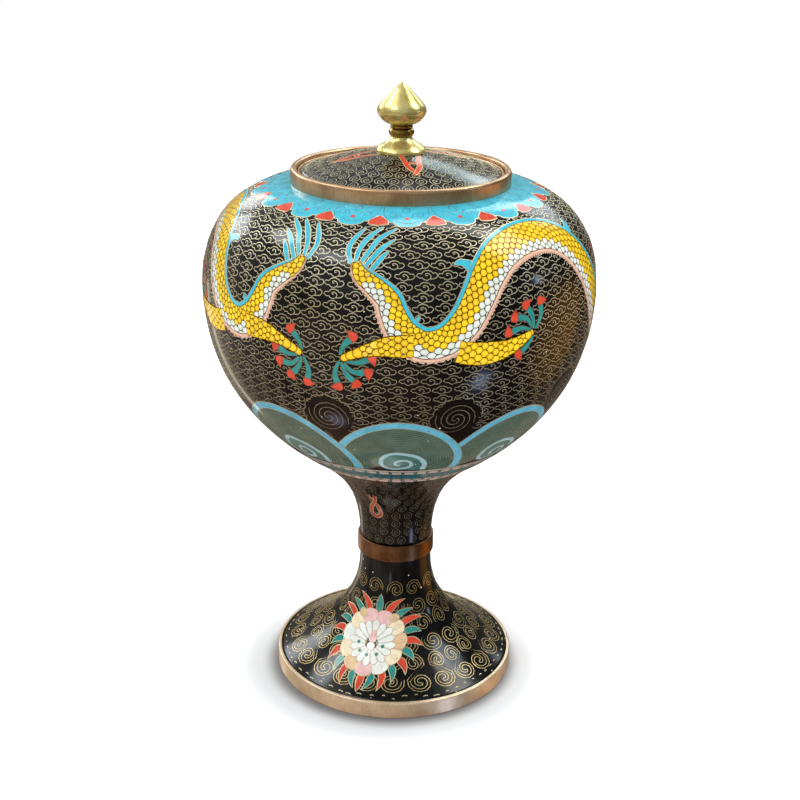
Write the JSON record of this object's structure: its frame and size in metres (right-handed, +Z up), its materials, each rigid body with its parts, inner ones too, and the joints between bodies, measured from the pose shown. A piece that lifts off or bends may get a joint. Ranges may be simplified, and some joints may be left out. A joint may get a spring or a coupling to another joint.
{
  "type": "covered pedestal jar",
  "caption": "Covered cloisonne jar: a round enamelled copper bowl on a waisted pedestal foot, with metal edge bands and an inset domed lid with a brass finial that lifts off.",
  "frame": {"origin": "on the table, at the centre of the foot ring", "axes": "+Z up along the jar's axis, towards the finial; -Y is the front, midway along the visible dragon, with the lotus on the foot 20 degrees to its left"},
  "size_m": [0.1362, 0.1362, 0.2185],
  "materials": {
    "copper_sheet": "bare copper sheet, inside walls",
    "bronzed_copper": "toned copper, rubbed satin",
    "finial_brass": "turned brass, polished",
    "black_enamel": "polished black enamel with wires",
    "turquoise_lining": "plain turquoise counter enamel"
  },
  "bodies": {
    "jar": {"bowl_lower_shell": "copper_sheet", "bowl_upper_shell": "copper_sheet", "bowl_floor": "copper_sheet", "bowl_enamel": "black_enamel", "bowl_lining": "turquoise_lining", "mouth_collar": "bronzed_copper", "stem_shell": "copper_sheet", "stem_enamel": "black_enamel", "stem_band": "bronzed_copper", "foot_shell": "copper_sheet", "foot_enamel": "black_enamel", "foot_lining": "turquoise_lining", "foot_rim": "bronzed_copper"},
    "lid": {"lid_shell": "copper_sheet", "lid_enamel": "black_enamel", "lid_lining": "turquoise_lining", "lid_bezel": "bronzed_copper", "lid_flange": "bronzed_copper", "finial_base": "finial_brass", "finial_bead": "finial_brass", "finial_bud": "finial_brass", "finial_stud": "finial_brass", "finial_washer": "finial_brass", "finial_nut": "finial_brass"}
  },
  "joints": [
    {"name": "lid_lift", "type": "slide", "parent": "jar", "child": "lid", "axis": [0, 0, 1], "range_m": [0, 0.06]}
  ]
}
